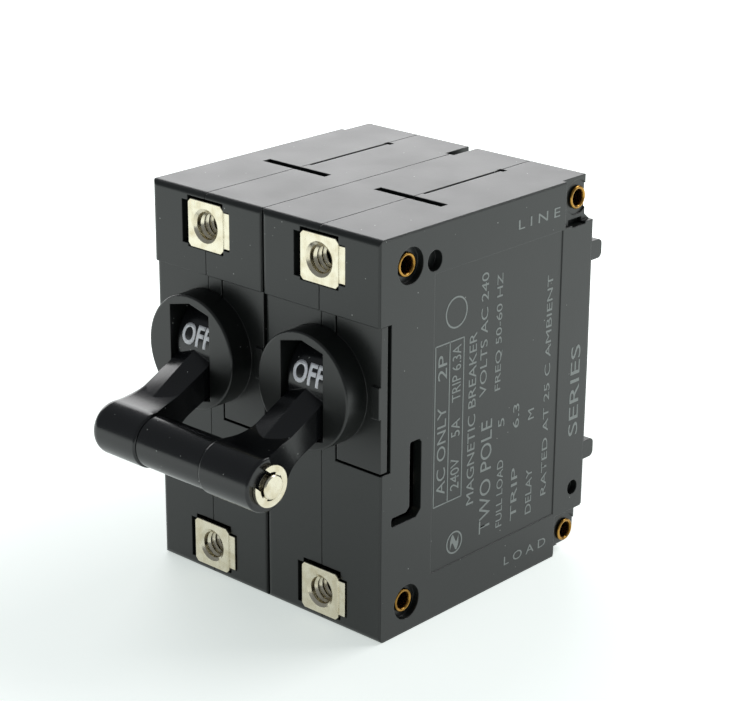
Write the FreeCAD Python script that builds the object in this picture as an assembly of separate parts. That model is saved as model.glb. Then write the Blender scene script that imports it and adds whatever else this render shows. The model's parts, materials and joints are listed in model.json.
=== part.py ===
import FreeCAD, Part

import math
import os

# Two-pole panel-mount circuit protector with tied toggle handles. Millimetres.
# Frame: origin at the centre of the four mounting nuts, on the panel face.
# +X runs to the right pole, +Y into the panel, +Z towards the line terminals.

# ---------------------------------------------------------------- driving dimensions
POLE_WIDTH = 19.05
HEIGHT = 50.8
DEPTH = 40.0
FACE_STEP = 0.4
PAD_BOTTOM_Z = 15.0
SIDE_WALL = 1.3
FRONT_WALL = 1.6
END_WALL = 1.6
REAR_WALL = 1.7
LEFT_EDGE_RADIUS = 0.8
RIGHT_EDGE_RADIUS = 0.25
TOP_EDGE_RADIUS = 0.75
SEAM_HALF_WIDTH = 0.06
SEAM_DEPTH = 0.2

NUT_SPACING_Z = 42.47
NUT_WIDTH = 6.1
NUT_THICKNESS = 2.9
NUT_BORE_RADIUS = 1.42
NUT_COUNTERSINK_RADIUS = 2.15

RIVET_BORE_RADIUS = 1.05
RIVET_RADIUS = 1.3
RIVET_HEAD_RADIUS = 1.5
RIVET_RECESS = 0.9
FRONT_RIVET_YZ = (5.23, 21.36)
REAR_RIVET_YZ = (37.25, 22.7)
COUNTERBORE_RADIUS = 2.25

LOBE_START_Y = 34.2
LOBE_REAR_Y = 38.9
LOBE_INSET = 0.7
LOBE_INNER_Z = 19.45

PIVOT_Y = 4.0
PIVOT_Z = 5.75
HANDLE_ANGLE = 24.6
DRUM_RADIUS = 6.3
DRUM_HALF_WIDTH = 3.2
BEZEL_RADIUS = 7.3
BEZEL_FRONT_Y = -3.0
PLATE_BOTTOM_Z = -3.15
WINDOW_HALF_WIDTH = 3.45
WINDOW_SIDE_HALF_HEIGHT = 5.5
WINDOW_PEAK_HALF_HEIGHT = 6.35

LEVER_LENGTH = 18.37
LEVER_HALF_WIDTH = 2.95
FLARE_HALF_HEIGHT = 1.62
FLARE_RADIUS = 12.7
WIDENING_START = 12.5
KNUCKLE_START = 16.9
KNUCKLE_RADIUS = 3.4
KNUCKLE_HALF_WIDTH = 4.1
TIE_PIN_RADIUS = 1.5
RING_TURN = -40
PIN_RADIUS = 1.0
RUNNING = 0.05

CRANK_RADIUS = 4.3
LINK_LENGTH = 6.46
LINK_PIN_RADIUS = 0.7
ARM_PIVOT_YZ = (16.5, -0.71)
ARM_FRONT = 8.77
ARM_REAR = 14.5
ARM_ANGLE = 11.8

COIL_Z = -15.6
COIL_FRONT_Y = 12.6
COIL_REAR_Y = 29.6
ARMATURE_PIN_YZ = (9.8, -8.9)
TRIP_BAR_YZ = (6.3, -7.2)
TERMINAL_Z = 12.2

HALF = POLE_WIDTH / 2
TOP = HEIGHT / 2
CAVITY_X = HALF - SIDE_WALL
NUT_Z = NUT_SPACING_Z / 2
POLES = (("left", -HALF), ("right", HALF))
X_AXIS = FreeCAD.Vector(1, 0, 0)
Y_AXIS = FreeCAD.Vector(0, 1, 0)


# ---------------------------------------------------------------- shape helpers
def vec(x, y, z):
    return FreeCAD.Vector(x, y, z)


def block(x0, x1, y0, y1, z0, z1):
    """Rectangular block between two corners."""
    return Part.makeBox(x1 - x0, y1 - y0, z1 - z0, vec(x0, y0, z0))


def rod_x(y, z, radius, x0, x1):
    """Cylinder along X."""
    return Part.makeCylinder(radius, x1 - x0, vec(x0, y, z), X_AXIS)


def rod_y(x, z, radius, y0, y1):
    """Cylinder along Y."""
    return Part.makeCylinder(radius, y1 - y0, vec(x, y0, z), Y_AXIS)


def prism_x(points, x0, x1):
    """Solid with the (y, z) outline, from x0 to x1."""
    corners = [vec(x0, y, z) for y, z in points]
    face = Part.Face(Part.makePolygon(corners + corners[:1]))
    return face.extrude(vec(x1 - x0, 0, 0))


def prism_y(points, y0, y1):
    """Solid with the (x, z) outline, from y0 to y1."""
    corners = [vec(x, y0, z) for x, z in points]
    face = Part.Face(Part.makePolygon(corners + corners[:1]))
    return face.extrude(vec(0, y1 - y0, 0))


def turned_x(shape, y, z, degrees):
    """Copy of a shape turned about a line along X."""
    copy = shape.copy()
    copy.rotate(vec(0, y, z), X_AXIS, degrees)
    return copy


def union(shapes):
    """One solid from shapes that meet."""
    result = shapes[0]
    for shape in shapes[1:]:
        result = result.fuse(shape)
    return result.removeSplitter()


def cut_all(shape, tools):
    """Shape with every tool cut away."""
    for tool in tools:
        shape = shape.cut(tool)
    return shape


def edges_near(shape, test):
    """Edges whose centre of mass passes a test."""
    return [edge for edge in shape.Edges if test(edge.CenterOfMass, edge)]


def coil_spring(origin, axis, radius, wire, pitch, turns):
    """Closed helix of round wire, built along Z and then turned onto an axis."""
    helix = Part.makeHelix(pitch, pitch * turns, radius)
    section = Part.Wire([Part.makeCircle(wire, vec(radius, 0, 0), vec(0, 1, 0))])
    spring = Part.Wire(helix.Edges).makePipeShell([section], True, True)
    spring.Placement = FreeCAD.Placement(origin, FreeCAD.Rotation(vec(0, 0, 1), axis))
    return spring


def save(name, shape, offset=0.0):
    """Write one node, moved along X to its pole."""
    moved = shape.copy()
    moved.translate(vec(offset, 0, 0))
    moved.exportStep("parts/" + name + ".step")


# ---------------------------------------------------------------- moulded case
def case_profile():
    """Outline of a pole in Y and Z, with its stepped face and rear lobes."""
    return [
        (FACE_STEP, -TOP), (FACE_STEP, PAD_BOTTOM_Z), (0, PAD_BOTTOM_Z), (0, TOP),
        (LOBE_REAR_Y, TOP), (LOBE_REAR_Y, LOBE_INNER_Z + 0.8), (DEPTH - 0.1, LOBE_INNER_Z),
        (DEPTH, 0), (DEPTH - 0.1, -LOBE_INNER_Z - 0.1), (39.2, -LOBE_INNER_Z - 0.5),
        (39.2, -22.9), (37.7, -24.45), (34.9, -24.45), (34.2, -TOP),
    ]


def cavity_profile():
    """Outline of the room inside a pole."""
    front = FACE_STEP + FRONT_WALL
    rear = DEPTH - REAR_WALL
    top = TOP - END_WALL
    return [
        (front, -top), (front, top), (33.8, top), (33.8, 19.2), (rear, 17.8),
        (rear, -17.8), (33.8, -19.2), (33.8, -top),
    ]


def rivet_places():
    """The four (y, z) places where rivets cross the case."""
    front_y, front_z = FRONT_RIVET_YZ
    rear_y, rear_z = REAR_RIVET_YZ
    return [(front_y, front_z), (front_y, -front_z), (rear_y, rear_z), (rear_y, -rear_z)]


def upright_corner(side, y, radius, z0, z1):
    """Sliver that rounds one upright front edge when it is cut away."""
    x0, x1 = sorted((side * (HALF - radius), side * (HALF + 1)))
    centre = vec(side * (HALF - radius), y + radius, z0 - 1)
    core = Part.makeCylinder(radius, z1 - z0 + 2, centre)
    return block(x0, x1, y - 1, y + radius, z0, z1).cut(core)


def case_body():
    """Both halves of one pole as a block with its cavity, before it is parted."""
    body = prism_x(case_profile(), -HALF, HALF)
    face_edges = edges_near(body, lambda c, e: abs(c.z + TOP) < 0.01 and abs(c.y - FACE_STEP) < 0.01)
    body = body.makeFillet(0.8, face_edges)
    top_edges = edges_near(body, lambda c, e: abs(c.z - TOP) < 0.01 and abs(c.y) < 0.01)
    body = body.makeFillet(TOP_EDGE_RADIUS, top_edges)
    corners = [upright_corner(side, y, radius, z0, z1)
               for side, radius in ((-1, LEFT_EDGE_RADIUS), (1, RIGHT_EDGE_RADIUS))
               for y, z0, z1 in ((FACE_STEP, -TOP - 1, PAD_BOTTOM_Z), (0, PAD_BOTTOM_Z, TOP + 1))]
    body = cut_all(body, corners)
    lobes = [block(side * HALF - LOBE_INSET, side * HALF + LOBE_INSET, LOBE_START_Y, DEPTH + 1, z0, z1)
             for side in (-1, 1) for z0, z1 in ((LOBE_INNER_Z, TOP + 1), (-TOP - 1, -LOBE_INNER_Z - 0.3))]
    body = cut_all(body, lobes)
    body = body.cut(prism_x(cavity_profile(), -CAVITY_X, CAVITY_X))
    return body


def case_additions():
    """Columns, nut blocks, pin bosses and rear terminal walls inside the case."""
    added = []
    for y, z in rivet_places():
        added.append(rod_x(y, z, 2.6, -CAVITY_X - 0.1, CAVITY_X + 0.1).common(
            prism_x(case_profile(), -HALF, HALF)))
    for side in (-1, 1):
        z = side * NUT_Z
        added.append(block(-5.0, 5.0, FACE_STEP + 0.5, 5.2, z - 4.0, z + 4.0))
        added.append(rod_x(PIVOT_Y, PIVOT_Z, 2.2, *sorted((side * 5.5, side * (CAVITY_X + 0.1)))))
        added.append(rod_x(*ARM_PIVOT_YZ, 2.0, *sorted((side * 3.0, side * (CAVITY_X + 0.1)))))
        z0, z1 = sorted((side * 7.2, side * 17.6))
        added.append(block(-CAVITY_X - 0.1, CAVITY_X + 0.1, 36.4, DEPTH - 1.0, z0, z1))
        rear_pad = block(-1.25, 1.25, DEPTH - 0.5, 42.0, -1.25, 1.25)
        corner_edges = edges_near(rear_pad, lambda c, e: abs(c.y - 42.0) < 0.01 and abs(c.x) < 0.01)
        rear_pad = rear_pad.makeFillet(0.7, corner_edges)
        for pad_z in (15.2, -12.1):
            pad = rear_pad.copy()
            pad.translate(vec(side * (HALF - 1.25), 0, pad_z))
            added.append(pad)
    return added


def seam_groove(x):
    """Fine groove that runs round a pole where two mouldings meet."""
    ring = prism_x([(-2, -TOP - 2), (-2, TOP + 2), (DEPTH + 3, TOP + 2), (DEPTH + 3, -TOP - 2)],
                   x - SEAM_HALF_WIDTH, x + SEAM_HALF_WIDTH)
    kept = prism_x([(FACE_STEP + SEAM_DEPTH, -TOP + SEAM_DEPTH), (FACE_STEP + SEAM_DEPTH, PAD_BOTTOM_Z),
                    (SEAM_DEPTH, PAD_BOTTOM_Z), (SEAM_DEPTH, TOP - SEAM_DEPTH),
                    (LOBE_REAR_Y - SEAM_DEPTH, TOP - SEAM_DEPTH), (LOBE_REAR_Y - SEAM_DEPTH,
                                                                   LOBE_INNER_Z + 0.6),
                    (DEPTH - 0.1 - SEAM_DEPTH, LOBE_INNER_Z - 0.2), (DEPTH - 0.1 - SEAM_DEPTH, -LOBE_INNER_Z),
                    (39.1 - SEAM_DEPTH, -22.8), (37.5 - SEAM_DEPTH, -24.3), (34.9, -24.3), (34.1,
                                                                                            -TOP + SEAM_DEPTH)],
                   x - 1, x + 1)
    return ring.cut(kept)


def nut_pocket(z):
    """Square nut pocket with the slots that its sheared sides leave."""
    reach = NUT_WIDTH / 2
    return [
        block(-reach - 0.05, reach + 0.05, -1, NUT_THICKNESS + 0.3, z - reach - 0.05, z + reach + 0.35),
        block(-reach - 1.05, -reach, -1, 1.6, z - 2.75, z + 2.75),
        block(reach, reach + 1.1, -1, 1.6, z - 2.4, z + 2.45),
    ]


def bezel_opening():
    """Room in the case front for the bezel plate, with a tongue at each end."""
    plate = block(2.2, HALF + 1, -1, FACE_STEP + FRONT_WALL + 0.1, PLATE_BOTTOM_Z - 0.32, PAD_BOTTOM_Z)
    disc = rod_y(0, PIVOT_Z, BEZEL_RADIUS, -1, FACE_STEP + FRONT_WALL + 0.1)
    return [plate, disc]


def terminal_pocket(side):
    """Recess in the rear wall for a terminal plate, with its slot and screw hole."""
    z0, z1 = sorted((side * 7.85, side * 16.45))
    slot0, slot1 = sorted((side * 7.85, side * 8.95))
    return [
        block(-3.55, 3.55, 38.0, DEPTH + 2, z0, z1),
        block(-3.05, 3.05, 35.0, DEPTH, slot0, slot1),
        rod_y(0, side * TERMINAL_Z, 1.8, 35.0, DEPTH),
    ]


def top_vent_and_groove():
    """Vent slot across the top and the key groove that follows the parting line."""
    return [
        block(-5.45, 5.35, 15.3, 16.55, TOP - END_WALL - 0.1, TOP + 1),
        block(0.0, 0.42, 18.1, 33.0, TOP - 0.8, TOP + 1),
        block(-0.25, 0.85, 32.4, 33.2, TOP - 0.8, TOP + 1),
    ]


def side_features(side):
    """Label recess, coupling slot and small pin holes in an outer side wall."""
    outer = side * HALF

    def span(depth):
        return sorted((outer - side * depth, outer + side))

    label = block(*span(0.1), 9.6, 33.8, -19.2, 19.3)
    slot = prism_x([(5.5, -0.6), (7.2, -0.6), (7.6, -1.1), (7.6, -9.7), (6.7, -10.6), (2.3, -10.6),
                    (2.3, -9.4), (4.9, -9.4), (5.5, -8.9)], *span(SIDE_WALL + 0.1))
    slot = slot.makeFillet(0.35, edges_near(slot, lambda c, e: e.BoundBox.XLength > 1))
    pin_hole = rod_x(9.5, 21.0, 1.3, *span(1.1))
    rear_hole = rod_x(37.7, -16.6, 1.0, *span(1.0))
    notch = block(*span(1.4), 35.6, 38.3, 19.2, 20.0)
    return [label, slot, pin_hole, rear_hole, notch]


def case_halves(pole):
    """Left and right halves of one pole, parted at the middle plane."""
    body = union([case_body()] + case_additions())
    for z in (NUT_Z, -NUT_Z):
        body = cut_all(body, nut_pocket(z))
    body = cut_all(body, bezel_opening() + top_vent_and_groove())
    for side in (-1, 1):
        body = cut_all(body, terminal_pocket(side))
    for y, z in rivet_places():
        body = body.cut(rod_x(y, z, RIVET_RADIUS + 0.02, -HALF - 1, HALF + 1))
    body = body.cut(rod_x(PIVOT_Y, PIVOT_Z, PIN_RADIUS + 0.01, -6.9, 6.9))
    body = body.cut(rod_x(*ARM_PIVOT_YZ, PIN_RADIUS + 0.01, -6.9, 6.9))
    inner_side = 1 if pole == "left" else -1
    outer_side = -inner_side
    outer_tools = side_features(outer_side)
    for y, z in rivet_places():
        x0, x1 = sorted((outer_side * (HALF - RIVET_RECESS), outer_side * (HALF + 1)))
        outer_tools.append(rod_x(y, z, COUNTERBORE_RADIUS, x0, x1))
    bar_y, bar_z = TRIP_BAR_YZ
    outer_tools.append(rod_x(bar_y, bar_z, PIN_RADIUS + RUNNING,
                             *sorted((inner_side * (CAVITY_X - 0.1), inner_side * (HALF + 1)))))
    body = cut_all(body, outer_tools)
    body = cut_all(body, [seam_groove(x) for x in (-HALF, 0, HALF)])
    left = body.common(block(-HALF - 1, 0, -5, DEPTH + 5, -TOP - 1, TOP + 1))
    right = body.common(block(0, HALF + 1, -5, DEPTH + 5, -TOP - 1, TOP + 1))
    return left, right


# ---------------------------------------------------------------- bezel and toggle
def bezel():
    """Round bezel with its half plate, and the gabled window for the lever."""
    plate = block(2.5, HALF - 0.05, FACE_STEP, 1.5, PLATE_BOTTOM_Z, PAD_BOTTOM_Z - 0.03)
    disc = rod_y(0, PIVOT_Z, BEZEL_RADIUS, BEZEL_FRONT_Y, FACE_STEP)
    rim = edges_near(disc, lambda c, e: abs(c.y - BEZEL_FRONT_Y) < 0.01)
    disc = disc.makeFillet(0.25, rim)
    pad = block(8.2, HALF - 0.05, FACE_STEP - 0.35, 1.0, 3.75, 7.7)
    window = prism_y([
        (-WINDOW_HALF_WIDTH, PIVOT_Z - WINDOW_SIDE_HALF_HEIGHT), (0, PIVOT_Z - WINDOW_PEAK_HALF_HEIGHT),
        (WINDOW_HALF_WIDTH, PIVOT_Z - WINDOW_SIDE_HALF_HEIGHT),
        (WINDOW_HALF_WIDTH, PIVOT_Z + WINDOW_SIDE_HALF_HEIGHT), (0, PIVOT_Z + WINDOW_PEAK_HALF_HEIGHT),
        (-WINDOW_HALF_WIDTH, PIVOT_Z + WINDOW_SIDE_HALF_HEIGHT)], BEZEL_FRONT_Y - 1, 3)
    drum_room = rod_x(PIVOT_Y, PIVOT_Z, DRUM_RADIUS + 0.2, -WINDOW_HALF_WIDTH, WINDOW_HALF_WIDTH)
    hub = rod_y(0, PIVOT_Z, BEZEL_RADIUS - 0.03, FACE_STEP - 0.1, 1.5)
    return cut_all(union([plate, disc, hub, pad]), [window, drum_room])


def lever_ring(ridge, edge):
    """Six-sided lever section from a ridge (s, h) and an edge (x, s, h)."""
    ridge_s, ridge_h = ridge
    edge_x, edge_s, edge_h = edge
    corners = [
        vec(0, -ridge_s, ridge_h), vec(edge_x, -edge_s, edge_h), vec(edge_x, -edge_s, -edge_h),
        vec(0, -ridge_s, -ridge_h), vec(-edge_x, -edge_s, -edge_h), vec(-edge_x, -edge_s, edge_h),
    ]
    return Part.makePolygon(corners + corners[:1])


def hollow_arc(start, rise, radius, turn):
    """Points where a hollow arc starts, passes and ends, for a run that curves up by an angle."""
    points = [(start + radius * math.sin(a), rise + radius * (1 - math.cos(a))) for a in (0, turn / 2, turn)]
    return points


def lever_flare(left_radius, right_radius):
    """Flared lever end that runs into its knuckle, seen from the side, with rounded ends."""
    turn = math.acos((FLARE_RADIUS + FLARE_HALF_HEIGHT) / (FLARE_RADIUS + KNUCKLE_RADIUS))
    start = LEVER_LENGTH - (FLARE_RADIUS + KNUCKLE_RADIUS) * math.sin(turn)
    top = [vec(-KNUCKLE_HALF_WIDTH, -s, h) for s, h in hollow_arc(start, FLARE_HALF_HEIGHT,
                                                                  FLARE_RADIUS, turn)]
    low = [vec(p.x, p.y, -p.z) for p in top]
    tip = vec(-KNUCKLE_HALF_WIDTH, -LEVER_LENGTH - KNUCKLE_RADIUS, 0)
    root_top = vec(-KNUCKLE_HALF_WIDTH, -4.6, FLARE_HALF_HEIGHT)
    root_low = vec(-KNUCKLE_HALF_WIDTH, -4.6, -FLARE_HALF_HEIGHT)
    outline = Part.Wire([
        Part.makeLine(root_top, top[0]), Part.Arc(*top).toShape(), Part.Arc(top[2], tip, low[2]).toShape(),
        Part.Arc(low[2], low[1], low[0]).toShape(), Part.makeLine(low[0], root_low),
        Part.makeLine(root_low, root_top)])
    flare = Part.Face(outline).extrude(vec(2 * KNUCKLE_HALF_WIDTH, 0, 0))
    for side, radius in ((-1, left_radius), (1, right_radius)):
        rim = edges_near(flare, lambda c, e: abs(c.x - side * KNUCKLE_HALF_WIDTH) < 0.01 and c.y < -4.7)
        flare = flare.makeFillet(radius, rim)
    return flare.common(lever_plan())


def lever_plan():
    """Upright solid with the lever's outline seen from above, widening to the knuckle."""
    widening = KNUCKLE_HALF_WIDTH - LEVER_HALF_WIDTH
    run = KNUCKLE_START - WIDENING_START
    radius = (run ** 2 + widening ** 2) / (2 * widening)
    arc = hollow_arc(WIDENING_START, LEVER_HALF_WIDTH, radius, math.asin(run / radius))
    right = [vec(x, -s, -5) for s, x in arc]
    left = [vec(-x, -s, -5) for s, x in arc]
    tip = -LEVER_LENGTH - KNUCKLE_RADIUS - 1
    ends = [vec(KNUCKLE_HALF_WIDTH, tip, -5), vec(-KNUCKLE_HALF_WIDTH, tip, -5)]
    root = [vec(-LEVER_HALF_WIDTH, -4, -5), vec(LEVER_HALF_WIDTH, -4, -5)]
    outline = Part.Wire([
        Part.makeLine(root[1], right[0]), Part.Arc(*right).toShape(), Part.makeLine(right[2], ends[0]),
        Part.makeLine(ends[0], ends[1]), Part.makeLine(ends[1], left[2]),
        Part.Arc(left[2], left[1], left[0]).toShape(), Part.makeLine(left[0], root[0]),
        Part.makeLine(root[0], root[1])])
    return Part.Face(outline).extrude(vec(0, 0, 10))


def toggle(pole):
    """Handle in its off position: drum, gabled lever and flared end knuckle."""
    gable = Part.makeLoft([lever_ring((4.6, 2.9), (LEVER_HALF_WIDTH, 4.6, 1.85)),
                           lever_ring((15.5, 1.75), (LEVER_HALF_WIDTH, 15.5, 1.56))], True, True)
    ends = (1.5, 0.35) if pole == "left" else (0.35, 0.35)
    flare = lever_flare(*ends)
    drum = rod_x(0, 0, DRUM_RADIUS, -DRUM_HALF_WIDTH, DRUM_HALF_WIDTH)
    drum = drum.makeFillet(0.35, edges_near(drum, lambda c, e: abs(abs(c.x) - DRUM_HALF_WIDTH) < 0.01))
    handle = union([drum, gable, flare])
    handle.translate(vec(0, PIVOT_Y, PIVOT_Z))
    handle = turned_x(handle, PIVOT_Y, PIVOT_Z, HANDLE_ANGLE)
    link_room = block(-1.05, 1.05, -0.6, 9, -9, 9).cut(rod_x(0, 0, 2.0, -2, 2))
    link_room.translate(vec(0, PIVOT_Y, PIVOT_Z))
    link_room = turned_x(link_room, PIVOT_Y, PIVOT_Z, HANDLE_ANGLE)
    crank_y, crank_z = crank_place()
    pin_y, pin_z = tie_place()
    pin_end = -2.6 if pole == "left" else -KNUCKLE_HALF_WIDTH - 1
    pin_start = KNUCKLE_HALF_WIDTH + 1
    arm_room = block(-2.3, 2.3, 6.1, 12, -3, 2.8)
    return cut_all(handle, [
        link_room, arm_room,
        rod_x(PIVOT_Y, PIVOT_Z, PIN_RADIUS + RUNNING, -5, 5),
        rod_x(crank_y, crank_z, LINK_PIN_RADIUS + RUNNING, -2.8, 2.8),
        rod_x(pin_y, pin_z, TIE_PIN_RADIUS + 0.01, pin_end, pin_start),
    ])


def tie_place():
    """The (y, z) of the tie pin with the handles off."""
    angle = math.radians(HANDLE_ANGLE)
    return PIVOT_Y - LEVER_LENGTH * math.cos(angle), PIVOT_Z - LEVER_LENGTH * math.sin(angle)


def crank_place():
    """The (y, z) of the link pin in the drum with the handles off."""
    angle = math.radians(HANDLE_ANGLE)
    return PIVOT_Y + CRANK_RADIUS * math.cos(angle), PIVOT_Z + CRANK_RADIUS * math.sin(angle)


def tie_pin():
    """Pin that joins both handles, with a groove for its retaining ring."""
    y, z = tie_place()
    end = HALF + KNUCKLE_HALF_WIDTH
    pin = rod_x(y, z, TIE_PIN_RADIUS, -HALF - 2.5, end + 1.0)
    tip = edges_near(pin, lambda c, e: abs(c.x - end - 1.0) < 0.01)
    pin = pin.makeChamfer(0.15, tip)
    groove = rod_x(y, z, 3, end + 0.02, end + 0.6).cut(rod_x(y, z, 1.15, end, end + 1))
    return pin.cut(groove)


def tie_sleeve():
    """Spacer tube between the two knuckles."""
    y, z = tie_place()
    reach = HALF - KNUCKLE_HALF_WIDTH
    tube = rod_x(y, z, 3.2, -reach, reach)
    tube = tube.makeChamfer(0.12, edges_near(tube, lambda c, e: abs(abs(c.x) - reach) < 0.01))
    return tube.cut(rod_x(y, z, TIE_PIN_RADIUS + 0.01, -reach - 1, reach + 1))


def retaining_ring():
    """E-shaped ring on the outer end of the tie pin, open to the front."""
    y, z = tie_place()
    x0 = HALF + KNUCKLE_HALF_WIDTH + 0.05
    x1 = x0 + 0.5
    ring = rod_x(y, z, 2.55, x0, x1).cut(rod_x(y, z, 1.72, x0 - 1, x1 + 1))
    prongs = [turned_x(block(x0, x1, y - 0.42, y + 0.42, z + 1.16, z + 2.0), y, z, turn)
              for turn in (-90, 0, 180)]
    prongs = [prong.cut(rod_x(y, z, 1.17, x0 - 1, x1 + 1)) for prong in prongs]
    mouth = block(x0 - 1, x1 + 1, y - 4, y - 0.2, z - 1.18, z + 1.18)
    ring = union([ring] + prongs).cut(mouth)
    return turned_x(ring, y, z, RING_TURN)


# ---------------------------------------------------------------- mechanism
def latch_link():
    """Flat link from the drum to the contact arm, upright, with its own top pin."""
    y, z = crank_place()
    low = z - LINK_LENGTH
    plate = union([block(-0.8, 0.8, y - 1.45, y + 1.45, low, z), rod_x(y, z, 1.45, -0.8, 0.8),
                   rod_x(y, low, 1.45, -0.8, 0.8), rod_x(y, z, LINK_PIN_RADIUS, -2.7, 2.7)])
    slot = union([block(-2, 2, y - 0.62, y + 0.2, low - 0.66, low + 0.66),
                  rod_x(y - 0.62, low, 0.66, -2, 2), rod_x(y + 0.2, low, 0.66, -2, 2)])
    return plate.cut(slot)


def contact_arm():
    """Copper arm, open, with a forked front end and a tilted seat for its contact."""
    y, z = ARM_PIVOT_YZ
    bar = block(-2.0, 2.0, y - ARM_FRONT, y + ARM_REAR + 1.6, z - 0.9, z + 0.9)
    fork = block(-0.95, 0.95, y - ARM_FRONT - 2, y - ARM_FRONT + 2.9, z - 2, z + 2)
    ends = [rod_x(y - ARM_FRONT, z, 1.2, -2.0, 2.0), rod_x(y, z, 1.9, -2.0, 2.0)]
    arm = union([bar] + ends).cut(fork)
    arm = arm.fuse(rod_x(y - ARM_FRONT, z, 0.6, -2.0, 2.0))
    arm = turned_x(arm, y, z, -ARM_ANGLE)
    arm = arm.cut(rod_x(y, z, PIN_RADIUS + RUNNING, -4, 4))
    return arm.cut(moving_contact())


def moving_contact():
    """Silver contact button, seated so that its face lies level when closed."""
    y, z = ARM_PIVOT_YZ
    closed = math.radians(ARM_ANGLE)
    tip_y = y + ARM_REAR * math.cos(closed)
    tip_z = z + ARM_REAR * math.sin(closed)
    button = Part.makeCylinder(1.7, 1.5, vec(0, tip_y, tip_z), vec(0, 0, 1))
    button = button.makeFillet(0.2, edges_near(button, lambda c, e: c.z > tip_z + 1.4))
    return turned_x(button, y, z, -2 * ARM_ANGLE)


def fixed_contact():
    """Silver button under the line terminal."""
    y, z = ARM_PIVOT_YZ
    closed = math.radians(ARM_ANGLE)
    tip_y = y + ARM_REAR * math.cos(closed)
    face_z = z + ARM_REAR * math.sin(closed) + 1.5 + 0.12
    return Part.makeCylinder(1.7, 0.8, vec(0, tip_y, face_z), vec(0, 0, 1))


def line_terminal():
    """Stepped strip from the fixed contact, through the rear wall, to its screw plate."""
    low = fixed_contact().BoundBox.ZMax
    strip = prism_x([(28.0, low), (36.0, low), (36.0, 7.9), (39.2, 7.9), (39.2, 16.4), (38.0, 16.4),
                     (38.0, 8.9), (35.0, 8.9), (35.0, low + 1.0), (28.0, low + 1.0)], -3.0, 3.0)
    return strip.cut(rod_y(0, TERMINAL_Z, 1.52, 37, 40))


def load_terminal():
    """Angled strip from the coil, through the rear wall, to its screw plate."""
    strip = prism_x([(31.4, -8.9), (38.0, -8.9), (38.0, -16.4), (39.2, -16.4), (39.2, -7.9),
                     (31.4, -7.9)], -3.0, 3.0)
    return strip.cut(rod_y(0, -TERMINAL_Z, 1.52, 37, 40))


def terminal_screws():
    """Pan-head screws in every terminal plate, as separate solids."""
    screws = []
    for _, offset in POLES:
        for side in (1, -1):
            z = side * TERMINAL_Z
            head = rod_y(offset, z, 2.9, 39.2, 41.6)
            head = head.makeFillet(0.8, edges_near(head, lambda c, e: abs(c.y - 41.6) < 0.01))
            cross = [block(offset - 1.6, offset + 1.6, 40.6, 42, z - 0.3, z + 0.3),
                     block(offset - 0.3, offset + 0.3, 40.6, 42, z - 1.6, z + 1.6)]
            shank = rod_y(offset, z, 1.5, 34.6, 39.2)
            screws.append(cut_all(head.fuse(shank), cross))
    return Part.makeCompound(screws)


def arc_plates():
    """Steel splitter plates behind the moving contact."""
    plates = []
    for count in range(5):
        z = -4.2 + 1.9 * count
        plate = block(-6.4, 6.4, 33.7, 37.6, z, z + 0.7)
        plates.append(plate.cut(block(-1.5, 1.5, 33, 34.9, z - 1, z + 1)))
    return Part.makeCompound(plates)


def arc_holder():
    """Fibre side cheeks that carry the splitter plates."""
    cheeks = [block(x0, x0 + 0.9, 33.7, 37.6, -5.0, 4.6) for x0 in (-7.4, 6.5)]
    return Part.makeCompound(cheeks)


def magnet_frame():
    """Bent steel frame: top plate, rear plate and the ears that hold the armature pin."""
    pin_y, pin_z = ARMATURE_PIN_YZ
    top = block(-7.9, 7.9, 11.3, 31.0, pin_z - 0.1, pin_z + 1.2)
    rear = block(-7.9, 7.9, COIL_REAR_Y, 31.0, -22.0, pin_z)
    ears = [block(x0, x0 + 1.2, pin_y - 1.6, 11.4, pin_z - 1.5, pin_z + 1.2) for x0 in (-7.0, 5.8)]
    frame = union([top, rear] + ears)
    return cut_all(frame, [rod_y(0, COIL_Z, 3.02, COIL_REAR_Y - 1, 32),
                           rod_x(pin_y, pin_z, 0.81, -8, 8)])


def bobbin():
    """Moulded bobbin between the pole cap and the rear plate."""
    flanges = [block(-6.0, 6.0, y0, y0 + 1.0, COIL_Z - 6.0, COIL_Z + 6.0)
               for y0 in (COIL_FRONT_Y, COIL_REAR_Y - 1.02)]
    hub = rod_y(0, COIL_Z, 3.7, COIL_FRONT_Y, COIL_REAR_Y - 0.02)
    return union([hub] + flanges).cut(rod_y(0, COIL_Z, 3.02, COIL_FRONT_Y - 1, COIL_REAR_Y + 1))


def coil():
    """Copper winding as a ribbed sleeve on the bobbin."""
    start = COIL_FRONT_Y + 1.02
    end = COIL_REAR_Y - 1.04
    winding = rod_y(0, COIL_Z, 5.6, start, end)
    turns = 9
    pitch = (end - start) / turns
    grooves = [Part.makeTorus(5.75, 0.3, vec(0, start + pitch * count, COIL_Z), Y_AXIS)
               for count in range(1, turns)]
    return cut_all(winding, [rod_y(0, COIL_Z, 3.72, start - 1, end + 1)] + grooves)


def delay_tube():
    """Closed brass tube that holds the damped core."""
    tube = rod_y(0, COIL_Z, 3.0, COIL_FRONT_Y, 34.0)
    return tube.cut(rod_y(0, COIL_Z, 2.6, COIL_FRONT_Y - 1, 33.5))


def pole_cap():
    """Steel pole piece that closes the tube in front of the armature."""
    return rod_y(0, COIL_Z, 3.6, COIL_FRONT_Y - 0.9, COIL_FRONT_Y - 0.02)


def core_slug():
    """Sliding core at the rear of its tube."""
    return rod_y(0, COIL_Z, 2.52, 24.0, 33.4)


def core_spring():
    """Spring between the pole cap and the core."""
    return coil_spring(vec(0, 13.0, COIL_Z), Y_AXIS, 2.0, 0.2, 1.3, 8)


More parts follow.
